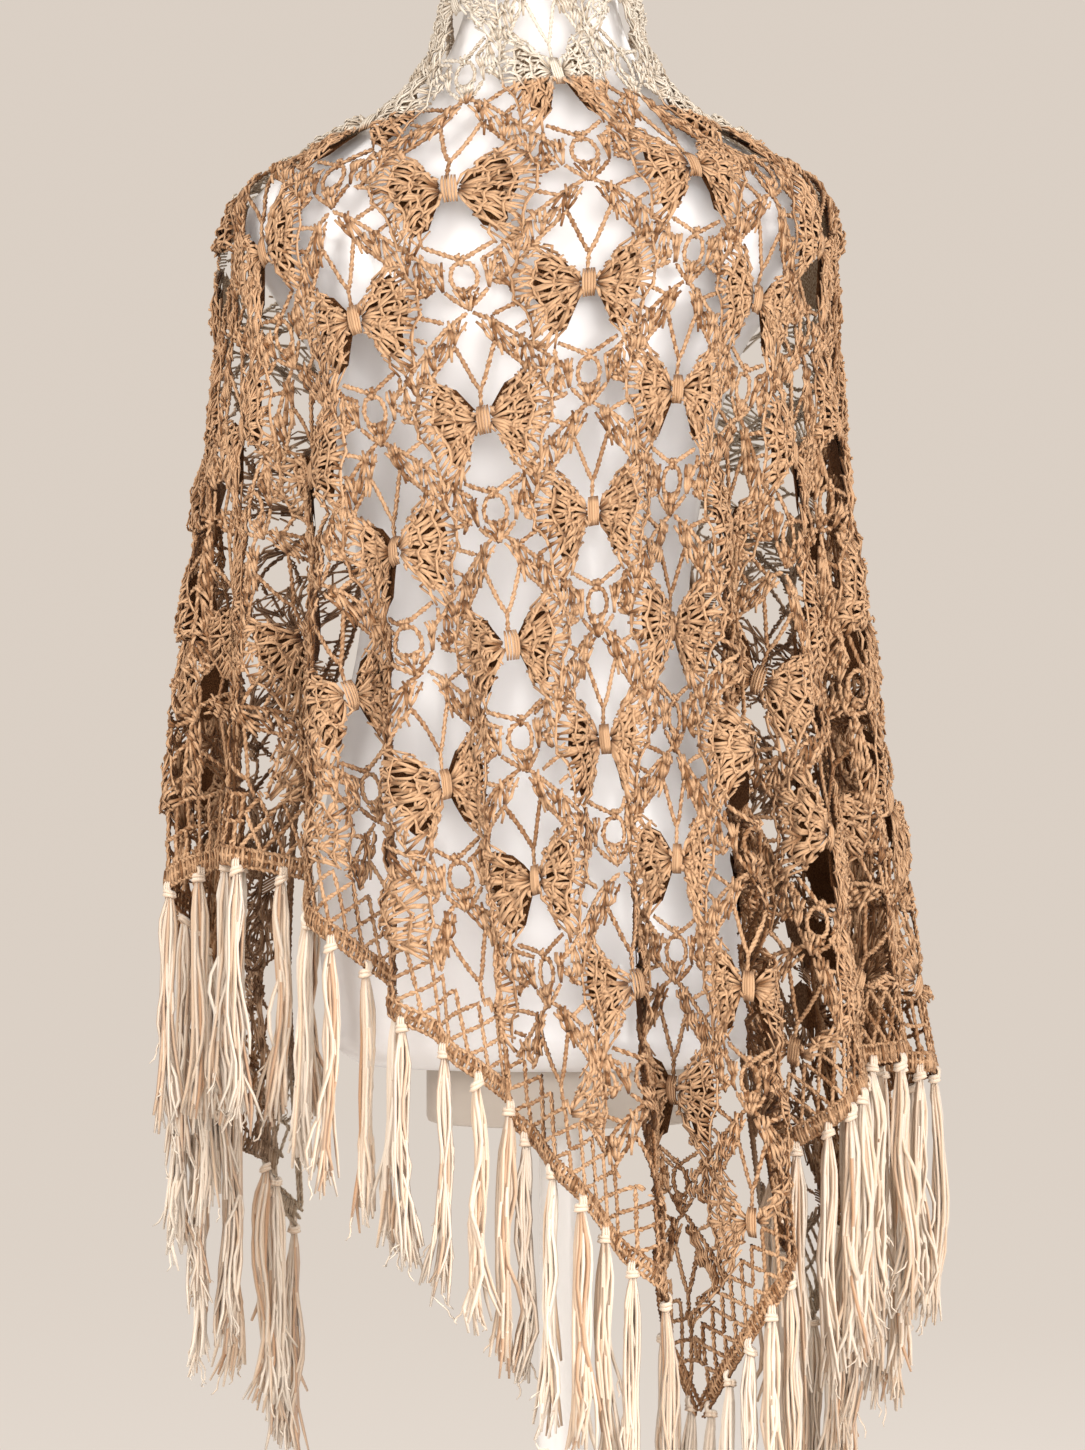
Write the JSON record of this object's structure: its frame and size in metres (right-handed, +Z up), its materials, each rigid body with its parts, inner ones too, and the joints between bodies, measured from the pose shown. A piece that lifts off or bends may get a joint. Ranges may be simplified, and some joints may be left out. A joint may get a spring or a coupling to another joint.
{
  "type": "lace shawl on a dress form stand",
  "caption": "Crocheted butterfly-lace shawl with a standing collar band and a tassel fringe, hung over a smooth limbless dress form on a pole stand.",
  "frame": {"origin": "centre of the stand's underside, on the floor and on the pole's axis", "axes": "+Z up along the pole, -Y out of the wearer's back, +X to the right of someone who looks at the back"},
  "size_m": [0.5237, 0.38, 1.516],
  "materials": {
    "cream_yarn": "crocheted cotton yarn, cream, matte",
    "tan_yarn": "crocheted cotton yarn, warm tan, matte",
    "fringe_yarn": "loose yarn, cream mixed with pale tan",
    "form_shell": "smooth white, satin gloss",
    "stand_paint": "smooth white paint"
  },
  "bodies": {
    "root": {"neck_band": "cream_yarn", "back_lace": "tan_yarn", "left_wing_lace": "tan_yarn", "right_wing_lace": "tan_yarn", "hem_border_left": "tan_yarn", "hem_border_right": "tan_yarn", "fringe_left_front": "fringe_yarn", "fringe_left_back": "fringe_yarn", "fringe_right_front": "fringe_yarn", "fringe_right_back": "fringe_yarn", "form_torso": "form_shell", "form_hub": "stand_paint", "stand_pole": "stand_paint", "stand_base": "stand_paint"}
  },
  "joints": []
}
